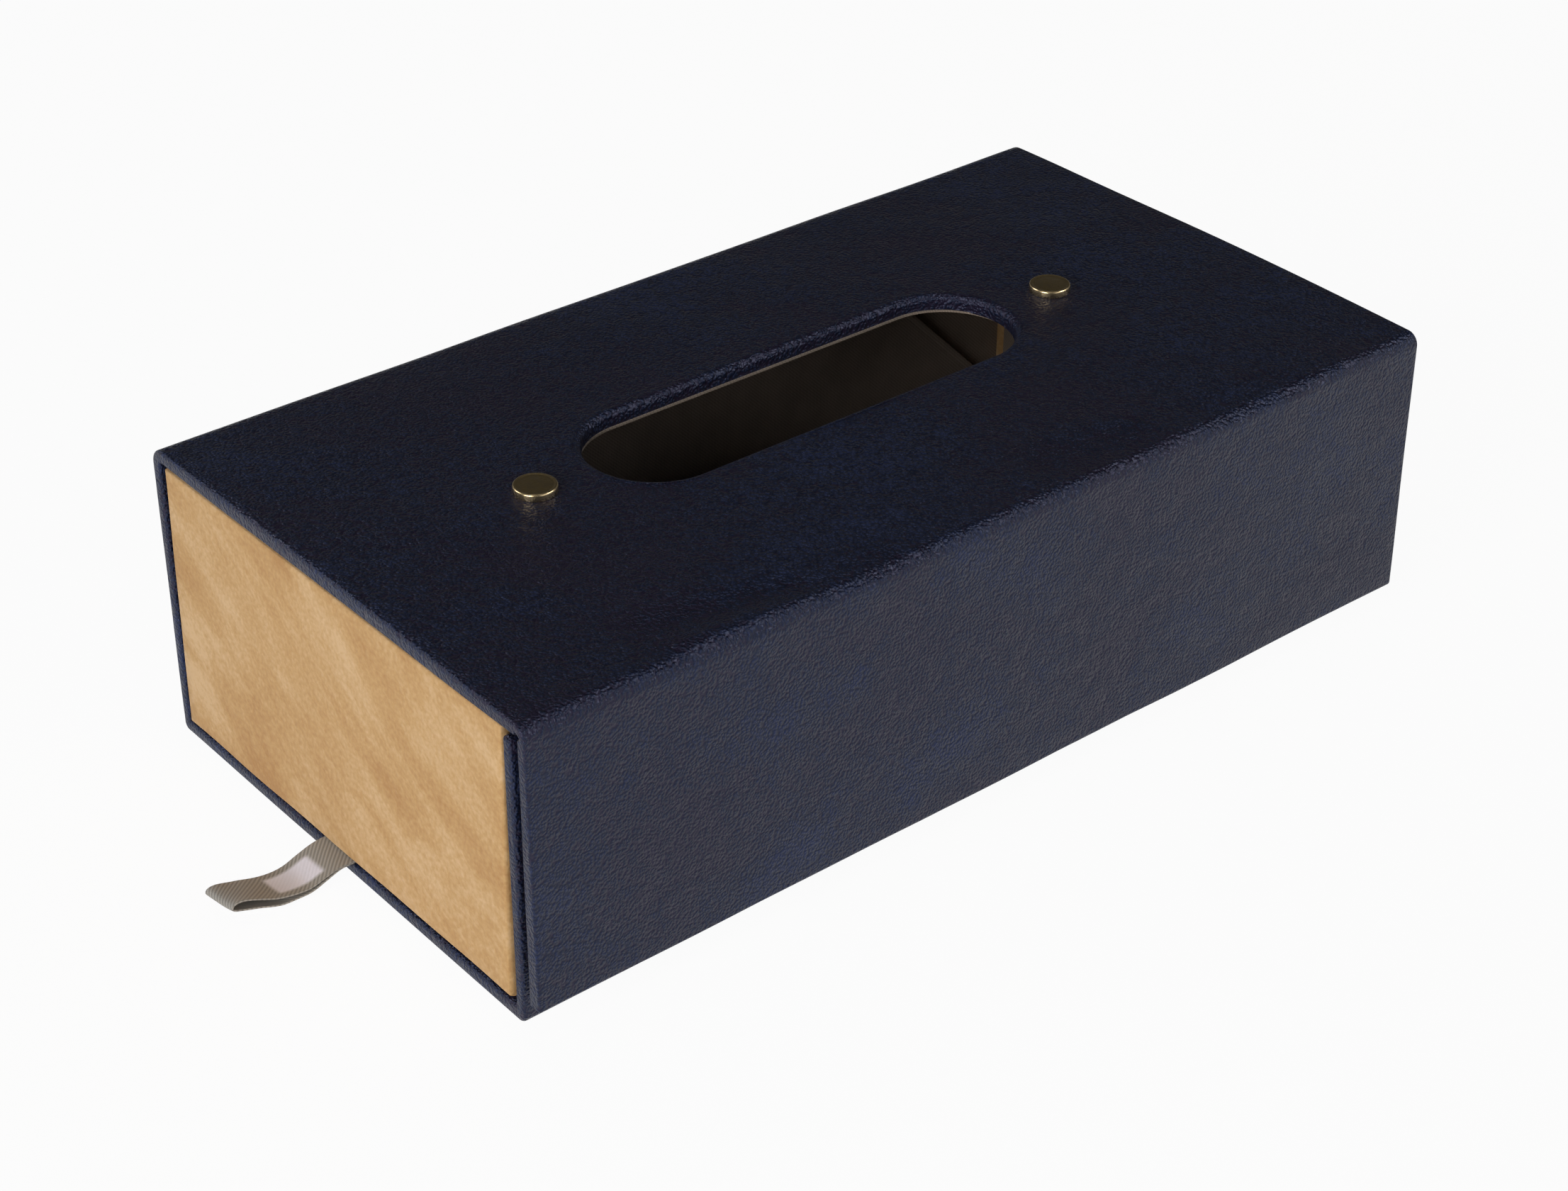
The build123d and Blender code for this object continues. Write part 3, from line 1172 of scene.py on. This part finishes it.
    def thin_fold(self, points: np.ndarray) -> np.ndarray:
        """Thin the front fold, where leather and lining bend without a board.

        Args:
            points: The sheet's points in millimetres.

        Returns:
            The points, with the fold's inner side moved out.
        """
        x0, z0 = self.front_fold
        x, z = points[:, 0] - x0, points[:, 2] - z0
        radius = np.hypot(x, z)
        near = self.front_radius - self.thick
        far = self.front_radius - self.flap_thick
        inner = (x > -0.01) & (z > -0.01) & (radius < near + 0.1)
        turn = np.clip(np.arctan2(x, z) / (math.pi / 2), 0, 1)
        share = np.clip(np.minimum(turn, 1 - turn) / self.fold_taper, 0, 1)
        wanted = near + turn * (far - near) + share * (self.flap_thick - self.fold_thick)
        scale = np.where(inner, wanted / np.maximum(radius, 1e-6), 1.0)
        moved = points.copy()
        moved[:, 0] = np.where(inner, x0 + x * scale, points[:, 0])
        moved[:, 2] = np.where(inner, z0 + z * scale, points[:, 2])
        behind = (z < -0.01) & (abs(x - near) < 0.1)
        moved[:, 0] = np.where(behind, x0 + far, moved[:, 0])
        return moved

    def stadium(self, radius: float, z: float) -> bpy.types.Object:
        """Add a closed loop of edges, the slot's outline.

        Args:
            radius: Radius of its two ends, in millimetres.
            z: Its height in millimetres.

        Returns:
            The loop.
        """
        straight = (self.slot_length - self.slot_width) / 2
        x, y = self.slot_place
        bpy.ops.mesh.primitive_circle_add(
            vertices=self.slot_end_points, radius=radius * MM, location=mm((x, y, z)),
            rotation=(0, 0, math.pi / self.slot_end_points),
        )
        loop = bpy.context.object
        settle(loop)
        for side in (1, -1):
            with editing(loop, Kind.VERT):
                pick(loop, Kind.VERT, lambda v: (v.co.y - y * MM) * side > 0)
                bpy.ops.transform.translate(value=(0, side * straight * MM, 0))
        with editing(loop):
            pick(loop, Kind.EDGE, lambda e: runs_along(e, Axis.Y, 40))
            bpy.ops.mesh.subdivide(number_cuts=self.slot_side_cuts)
        return loop

    def ring(self, name: str, profile: list[tuple[float, float]]) -> bpy.types.Object:
        """Bridge outlines into a closed ring.

        Args:
            name: The ring's name.
            profile: Radius and height of each outline, in order round the ring's section.

        Returns:
            The ring.
        """
        loops = [self.stadium(radius, z) for radius, z in profile]
        select_only(*loops)
        bpy.ops.object.join()
        ring = bpy.context.object
        ring.name = name
        size = len(ring.data.vertices) // len(loops)
        for first in range(len(loops)):
            second = (first + 1) % len(loops)
            span = [set(range(k * size, (k + 1) * size)) for k in (first, second)]
            with editing(ring):
                pick(
                    ring,
                    Kind.EDGE,
                    lambda e: any(all(v.index in part for v in e.verts) for part in span),
                )
                bpy.ops.mesh.bridge_edge_loops()
        face_outwards(ring)
        return ring

    def cut_slot(self, sheet: bpy.types.Object) -> None:
        """Cut the tissue slot through the lid and roll a lip for it.

        Args:
            sheet: The sheet to cut.
        """
        radius = self.slot_width / 2
        outer = radius + self.slot_lip
        reach = 12
        cutter = self.stadium(outer, self.top - reach)
        with editing(cutter, Kind.VERT):
            bpy.ops.mesh.select_all(action="SELECT")
            bpy.ops.mesh.edge_face_add()
            extrude_up(2 * reach)
        face_outwards(cutter)
        work(sheet, "BOOLEAN", operation="DIFFERENCE", object=cutter, solver="EXACT")
        bpy.data.objects.remove(cutter)
        move_points(sheet, self.crowned)
        centre = self.top + self.crown - self.slot_lip
        arc = [
            (outer - self.slot_lip * math.sin(a), centre + self.slot_lip * math.cos(a))
            for a in (math.radians(90 * i / 7) for i in range(8))
        ]
        under = self.top - self.thick
        # The last two outlines differ in height, because level ones are bridged across the slot.
        self.lip = self.ring("slot_lip", [*arc, (radius, under), (outer, under + 0.3)])
        move_points(self.lip, self.follow_crown)

    def crown_at(self, x: np.ndarray) -> np.ndarray:
        """How far the padded lid rises above its edge at a place across it."""
        return self.crown * np.clip(1 - ((x - self.mid_x) / self.half) ** 2, 0, 1)

    def crowned(self, points: np.ndarray) -> np.ndarray:
        """Raise the lid's top to its crown.

        Args:
            points: The sheet's points in millimetres.

        Returns:
            The points, raised fully at the top and less down to the padding's foot.
        """
        moved = points.copy()
        above = points[:, 2] - self.top + self.padding
        upper = (above > 0) & (abs(points[:, 0] - self.mid_x) < self.half)
        share = np.clip(above / self.padding, 0, 1)
        moved[:, 2] += np.where(upper, self.crown_at(points[:, 0]) * share, 0)
        return moved

    def follow_crown(self, points: np.ndarray) -> np.ndarray:
        """Bend the lip's upper side to the lid's crown.

        Args:
            points: The lip's points in millimetres.

        Returns:
            The points, lowered where the lid is lower than at its middle.
        """
        moved = points.copy()
        drop = self.crown - self.crown_at(points[:, 0])
        upper = points[:, 2] > self.top - self.slot_lip
        moved[:, 2] -= np.where(upper, drop, 0)
        return moved

    def shape(self, sheet: bpy.types.Object) -> None:
        """Give the sheet its soft waves and dents.

        Args:
            sheet: The sheet to shape.
        """
        make_uneven(sheet, height=0.26, wave=60.0, seed=2.7)
        move_points(sheet, self.pressed)
        move_points(sheet, self.flared)

    def flared(self, points: np.ndarray) -> np.ndarray:
        """Let the flap's outer face stand off a little towards its lower edge.

        Args:
            points: The sheet's points in millimetres.

        Returns:
            The points, with the flap's outer ones moved out.
        """
        x0, z0 = self.front_fold
        outer = points[:, 0] > x0 + self.front_radius - self.flap_thick / 2
        moved = points.copy()
        moved[:, 0] += np.where(outer, self.flare * np.clip((z0 - points[:, 2]) / z0, 0, 1), 0)
        return moved

    def pressed(self, points: np.ndarray) -> np.ndarray:
        """Push the points of the outer face that lie near a dent.

        Args:
            points: The sheet's points in millimetres.

        Returns:
            The points. Those of the lining's side stay, so that no dent comes through it.
        """
        moved = points.copy()
        outer = np.clip((points[:, 2] - self.top + self.dent_floor) / self.dent_fade, 0, 1)
        for dent in self.dents:
            a, b = np.array(dent.start, float), np.array(dent.end, float)
            way = b - a
            along = np.clip((points - a) @ way / (way @ way), 0, 1)
            gap = np.linalg.norm(points - a - along[:, None] * way, axis=1)
            share = np.clip(1 - gap / dent.reach, 0, 1)
            share = share * share * (3 - 2 * share) * outer
            moved += share[:, None] * np.array(dent.push)
        return moved

    def part(self, sheet: bpy.types.Object) -> list[bpy.types.Object]:
        """Cut the sheet at its seams into the pieces that move.

        Args:
            sheet: The shaped sheet.

        Returns:
            The lid, flap, front fold and back fold.
        """
        tests = {
            "flap_cover": lambda c: c.z < self.flap_seam * MM and c.x > 0,
            "front_fold": lambda c: c.x > self.lid_seam_front * MM,
            "back_fold": lambda c: c.x < self.lid_seam_back * MM,
        }
        pieces = {}
        for name, belongs in tests.items():
            before = set(bpy.data.objects)
            with editing(sheet, Kind.FACE):
                pick(sheet, Kind.FACE, lambda f: belongs(f.calc_center_median()))
                bpy.ops.mesh.separate(type="SELECTED")
            (pieces[name],) = set(bpy.data.objects) - before
            pieces[name].name = name
        select_only(sheet, self.lip)
        bpy.ops.object.join()
        sheet.name = "lid_cover"
        for piece in (sheet, *pieces.values()):
            close_holes(piece)
            smooth(piece)
            dress(piece, self.finishes.navy)
        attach(sheet, Body.LID.value)
        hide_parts("lid_leather")
        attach(pieces["flap_cover"], Body.FLAP.value)
        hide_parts("flap_leather")
        self.line(pieces["front_fold"], self.front_fold)
        self.line(pieces["back_fold"], self.back_fold)
        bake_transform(pieces["front_fold"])
        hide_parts("front_hinge_leather", "front_hinge_lining")
        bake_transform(pieces["back_fold"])
        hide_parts("back_hinge_leather", "back_hinge_lining")
        return [sheet, *pieces.values()]

    def line(self, piece: bpy.types.Object, fold: tuple[float, float]) -> None:
        """Give a fold's inner face the lining's cloth, up to the lining's ends.

        Args:
            piece: The fold.
            fold: X and Z of its axis, in millimetres.
        """
        piece.data.materials.append(self.finishes.lining)
        centre = mm((fold[0], 0, fold[1]))
        for face in piece.data.polygons:
            away = face.center - centre
            away.y = 0
            if away.dot(face.normal) < 0 and abs(face.center.y) < self.lined_to * MM:
                face.material_index = 1


# ---------------------------------------------------------------- rivets


@dataclass
class RivetSet:
    """The two capped rivets on the slot's axis."""

    finishes: Finishes
    cap_radius: float = 5.0
    cap_height: float = 1.9
    cap_sink: float = 0.05
    rim_round: float = 0.45
    seat_round: float = 0.25
    face_rings: tuple[tuple[float, float], ...] = (
        (0.55, 0.0), (0.25, -0.14), (0.35, 0.02), (1.3, 0.10), (1.6, 0.05),
    )
    shank_radius: float = 1.5
    shank_past: float = 0.25
    pitch: float = 153.0

    def build(self) -> bpy.types.Object:
        """Model one cap with its shank and copy it to both places.

        Returns:
            Both rivets as one object.
        """
        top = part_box("rivet_caps")[1].z / MM
        seat = top - self.cap_height - self.cap_sink
        bpy.ops.mesh.primitive_cylinder_add(
            vertices=64, radius=self.cap_radius * MM, depth=(top - seat) * MM,
            location=(0, 0, (top + seat) / 2 * MM),
        )
        cap = bpy.context.object
        settle(cap)
        with editing(cap, Kind.FACE):
            pick(cap, Kind.FACE, lambda f: f.normal.z > ALONG)
            for inward, rise in self.face_rings:
                bpy.ops.mesh.inset(thickness=inward * MM)
                bpy.ops.transform.translate(value=(0, 0, rise * MM))
            bpy.ops.mesh.poke()
        for place, width, segments in ((top, self.rim_round, 5), (seat, self.seat_round, 3)):
            round_edges(
                cap, lambda e: lies_at(e, Axis.Z, place) and is_crisp(e), width, segments
            )
        with editing(cap, Kind.FACE):
            pick(cap, Kind.FACE, lambda f: f.normal.z < -ALONG)
            bpy.ops.mesh.inset(
                thickness=(self.cap_radius - self.seat_round - self.shank_radius) * MM
            )
            extrude_up(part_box("rivet_backs")[0].z / MM - seat - self.shank_past)
        with editing(cap, Kind.VERT):
            bpy.ops.mesh.select_all(action="SELECT")
            bpy.ops.transform.translate(value=(0, -self.pitch / 2 * MM, 0))
            bpy.ops.mesh.duplicate_move(
                TRANSFORM_OT_translate={"value": (0, self.pitch * MM, 0)}
            )
        cap.name = "rivet_pair"
        smooth(cap, 50)
        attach(cap, Body.LID.value)
        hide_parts("rivet_caps")
        dress(cap, self.finishes.brass)
        return cap


# ---------------------------------------------------------------- the drawer


@dataclass
class Tray:
    """The drawer's tray in its bookcloth."""

    finishes: Finishes
    edge_round: float = 0.35

    def build(self) -> bpy.types.Object:
        """Soften a copy of the tray's cloth.

        Returns:
            The cloth piece.
        """
        source = frame["nodes"]["drawer_cloth"]
        select_only(source)
        bpy.ops.object.duplicate()
        piece = bpy.context.object
        piece.parent = None
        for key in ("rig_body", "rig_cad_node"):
            del piece[key]
        piece.name = "tray_cover"
        face_outwards(piece)
        work(
            piece, "BEVEL", width=self.edge_round * MM, segments=2, limit_method="ANGLE",
            angle_limit=math.radians(40),
        )
        smooth(piece, 50)
        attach(piece, Body.DRAWER.value)
        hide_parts("drawer_cloth")
        dress(piece, self.finishes.tray)
        return piece


@dataclass
class PullRibbon:
    """The doubled ribbon that pulls the drawer out."""

    width: float = 11.6
    thick: float = 0.34
    aside: float = 1.4
    lift_near: float = 1.4
    cup: float = 0.25
    ripple: float = 0.12
    free_from: float = -130.8
    free_length: float = 29.0
    patch: tuple[float, float] = (65.5, 77.0)
    path: tuple[tuple[float, float], ...] = (
        (-110.0, 4.08), (-124.0, 4.08), (-131.3, 4.05), (-134.0, 3.75), (-137.2, 2.5),
        (-141.2, 0.9), (-145.0, 0.65), (-149.0, 0.85), (-154.0, 2.2), (-158.0, 3.5),
        (-160.1, 4.25), (-160.4, 5.0), (-159.6, 5.65), (-157.4, 5.55), (-153.4, 4.3),
        (-149.2, 2.7), (-145.2, 1.95), (-141.4, 2.0), (-137.8, 3.1), (-134.4, 4.1),
        (-131.4, 4.4), (-124.0, 4.4), (-110.0, 4.4),
    )

    def build(self) -> bpy.types.Object:
        """Lay a woven strip along the loop's path.

        Returns:
            The ribbon.
        """
        low, high = (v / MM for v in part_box("pull_ribbon"))
        line = self.run()
        steps = np.r_[0, np.cumsum(np.linalg.norm(np.diff(line, axis=0), axis=1))]
        length = float(steps[-1])
        log.info("ribbon strip: %.1f x %.1f mm", self.width, length)
        bpy.ops.mesh.primitive_grid_add(x_subdivisions=14, y_subdivisions=260, size=2)
        ribbon = bpy.context.object
        ribbon.name = "ribbon_loop"
        mid = (low.x + high.x) / 2 + self.aside

        def lay(points: np.ndarray) -> np.ndarray:
            """Take the flat grid to the ribbon's place.

            Args:
                points: The grid's points, from -1 to 1 m across and along, in millimetres.

            Returns:
                The ribbon's points in millimetres.
            """
            u = points[:, 0] * MM
            s = (points[:, 1] * MM + 1) / 2 * length
            y = np.interp(s, steps, line[:, 0])
            z = np.interp(s, steps, line[:, 1])
            out = np.clip((self.free_from - y) / self.free_length, 0, 1)
            tilt = out * self.lift_near * u
            cup = self.cup * out * (u * u - 0.4)
            ripple = self.ripple * out * np.sin(s * 0.55 + 2.2 * u)
            return np.c_[mid + u * self.width / 2, y, z + tilt + cup + ripple]

        move_points(ribbon, lay)
        work(ribbon, "SOLIDIFY", thickness=self.thick * MM, offset=0.0)
        smooth(ribbon, 60)
        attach(ribbon, Body.DRAWER.value)
        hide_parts("pull_ribbon")
        cloth = TwillRibbon().build(self.width, length, self.patch)
        dress(ribbon, cloth)
        return ribbon

    def run(self) -> np.ndarray:
        """Draw the ribbon's centre line smoothly through its path.

        Returns:
            Its points in millimetres, Y and Z.
        """
        control = np.array(self.path)
        points = []
        for i in range(len(control) - 1):
            p0, p1 = control[max(i - 1, 0)], control[i]
            p2, p3 = control[i + 1], control[min(i + 2, len(control) - 1)]
            for t in np.linspace(0, 1, 12, endpoint=False):
                points.append(
                    0.5 * (2 * p1 + (p2 - p0) * t + (2 * p0 - 5 * p1 + 4 * p2 - p3) * t**2
                           + (3 * p1 - p0 - 3 * p2 + p3) * t**3)
                )
        points.append(control[-1])
        return np.array(points)


# ---------------------------------------------------------------- carried-over nodes


@dataclass
class CarriedNodes:
    """The frame's own nodes that stay in sight or inside: boards, linings and magnets."""

    finishes: Finishes

    def build(self) -> int:
        """Give each node its finish.

        Returns:
            How many nodes were dressed.
        """
        by_slot = {
            Slot.NAVY.value: self.finishes.navy,
            Slot.TAN.value: self.finishes.tan,
            Slot.BOARD.value: self.finishes.board,
            Slot.LINING.value: self.finishes.lining,
            Slot.TRAY.value: self.finishes.tray,
            Slot.RIBBON.value: self.finishes.tray,
            Slot.BRASS.value: self.finishes.brass,
            Slot.MAGNET.value: self.finishes.magnet,
        }
        for row in frame["record"]["subparts"]:
            node = frame["nodes"][row["node"]]
            node.data.materials.clear()
            node.data.materials.append(by_slot[row["material_slot"]])
        return len(frame["record"]["subparts"])


# ---------------------------------------------------------------- studio


def way_back(azimuth: float, elevation: float) -> Vector:
    """Find the way from the object to whatever looks at it.

    Args:
        azimuth: Degrees round Z, from the drawer's front towards +X.
        elevation: Degrees above the table.

    Returns:
        The way, of length 1.
    """
    a, e = math.radians(azimuth), math.radians(elevation)
    return Vector((math.sin(a) * math.cos(e), -math.cos(a) * math.cos(e), math.sin(e)))


@dataclass(frozen=True)
class Softbox:
    """A square lamp that faces a point on the object."""

    name: str
    azimuth: float
    elevation: float
    distance: float
    size: float
    power: float
    in_gloss: bool = True
    in_diffuse: bool = True

    def build(self) -> bpy.types.Object:
        """Place the lamp, turned to the object's middle.

        Returns:
            The lamp.
        """
        back = way_back(self.azimuth, self.elevation)
        data = bpy.data.lights.new(self.name, "AREA")
        data.energy, data.size = self.power, self.size
        lamp = bpy.data.objects.new(self.name, data)
        lamp.location = Vector((0, 0, 0.04)) + back * self.distance
        lamp.rotation_euler = back.to_track_quat("Z", "Y").to_euler()
        lamp.visible_glossy = self.in_gloss
        lamp.visible_diffuse = self.in_diffuse
        bpy.context.scene.collection.objects.link(lamp)
        return lamp


@dataclass
class Studio:
    """Pale floor, soft lamps and the camera."""

    azimuth: float = 50.163
    elevation: float = 32.4863
    roll: float = 0.4528
    distance: float = 707.667
    aim: Point = (-5.2065, -15.5723, 38.0)
    lens: float = 68.8874
    floor_tone: str = "#f2f2f2"
    floor_lift: float = 0.95
    lamps: tuple[Softbox, ...] = (
        Softbox("overhead", 20, 84, 1.5, 0.7, 2.2),
        Softbox("front_key", 20, 19, 1.5, 0.8, 15.0),
        Softbox("side_fill", 95, 22, 1.6, 0.9, 3.2),
        Softbox("edge_right", 136, 38, 1.5, 0.7, 11.0, in_diffuse=False),
        Softbox("edge_left", 312, 32, 1.5, 0.6, 8.0, in_diffuse=False),
        Softbox("back_fill", 215, 20, 1.7, 1.2, 3.0, in_gloss=False),
    )

    def build(self) -> None:
        """Set the stage."""
        self.lay_floor()
        self.light()
        self.point_camera()
        bpy.context.scene.view_settings.view_transform = "Standard"

    def lay_floor(self) -> None:
        """Lay the floor, whose colour is near white to the eye and keeps its shadows."""
        bpy.ops.mesh.primitive_plane_add(size=8.0, location=(0, 0, -0.05 * MM))
        floor = bpy.context.object
        floor.name = "floor"
        settle(floor)
        bench = NodeBench.material("pale_studio_floor")
        diffuse = bench.add("BsdfDiffuse", {"Color": colour(self.floor_tone)})
        lift = bench.add("Emission", {"Color": colour("#ffffff"), "Strength": 1.0})
        path = bench.add("LightPath")
        seen = bench.add(
            "Math", {0: path.outputs["Is Camera Ray"], 1: path.outputs["Is Glossy Ray"]},
            operation="MAXIMUM",
        ).outputs[0]
        share = bench.weigh((seen, self.floor_lift))
        mixed = bench.add("MixShader", {0: share, 1: diffuse.outputs[0], 2: lift.outputs[0]})
        floor.data.materials.append(bench.end(mixed.outputs[0]))

    def light(self) -> None:
        """Hang the lamps and set the surroundings, pale low down and dark above."""
        for lamp in self.lamps:
            lamp.build()
        world = bpy.data.worlds.new("studio_surroundings")
        bpy.context.scene.world = world
        bench = NodeBench(world)
        height = bench.add(
            "SeparateXYZ", {"Vector": bench.add("TexCoord").outputs["Generated"]}
        ).outputs["Z"]
        fade = bench.add(
            "MapRange",
            {"Value": height, "From Min": 0.0, "From Max": 0.30, "To Min": 0.40, "To Max": 0.02},
            interpolation_type="SMOOTHSTEP",
        ).outputs["Result"]
        seen = bench.add("LightPath").outputs["Is Camera Ray"]
        most = bench.add("Math", {0: fade, 1: seen}, operation="MAXIMUM").outputs[0]
        ground = bench.add("Background", {"Strength": most}).outputs[0]
        bench.add("OutputWorld", {"Surface": ground})

    def point_camera(self) -> None:
        """Stand the camera where the photograph was taken from."""
        a = math.radians(self.azimuth)
        back = way_back(self.azimuth, self.elevation)
        right = Vector((math.cos(a), math.sin(a), 0))
        up = back.cross(right)
        r = math.radians(self.roll)
        right, up = right * math.cos(r) + up * math.sin(r), up * math.cos(r) - right * math.sin(r)
        aim = right * self.aim[0] + up * self.aim[1] + Vector((0, 0, self.aim[2]))
        data = bpy.data.cameras.new("camera")
        data.sensor_width, data.lens = 36.0, self.lens
        data.clip_start, data.clip_end = 0.05, 20.0
        camera = bpy.data.objects.new("camera", data)
        camera.location = (aim + back * self.distance) * MM
        turn = np.array([right, up, back]).T
        camera.rotation_euler = Matrix(turn.tolist()).to_euler()
        bpy.context.scene.collection.objects.link(camera)
        bpy.context.scene.camera = camera


# ---------------------------------------------------------------- put together


def main() -> None:
    """Build the box's looks round the frame."""
    logging.basicConfig(level=logging.INFO, format="%(name)s %(message)s")
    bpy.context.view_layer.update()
    finishes = Finishes()
    log.info("carried nodes: %d", CarriedNodes(finishes).build())
    report(CaseWrap(finishes).build())
    front = Panel(
        "drawer_front", "drawer_front_leather", Body.DRAWER, finishes, faces_front=True,
        lean=0.55, droop=0.4,
    )
    report(front.build())
    end = Panel("end_panel", "end_leather", Body.CASE, finishes, faces_front=False)
    report(end.build())
    for piece in Cover(finishes).build():
        report(piece)
    report(RivetSet(finishes).build())
    report(Tray(finishes).build())
    report(PullRibbon().build())
    Studio().build()


if __name__ == "__main__":
    main()
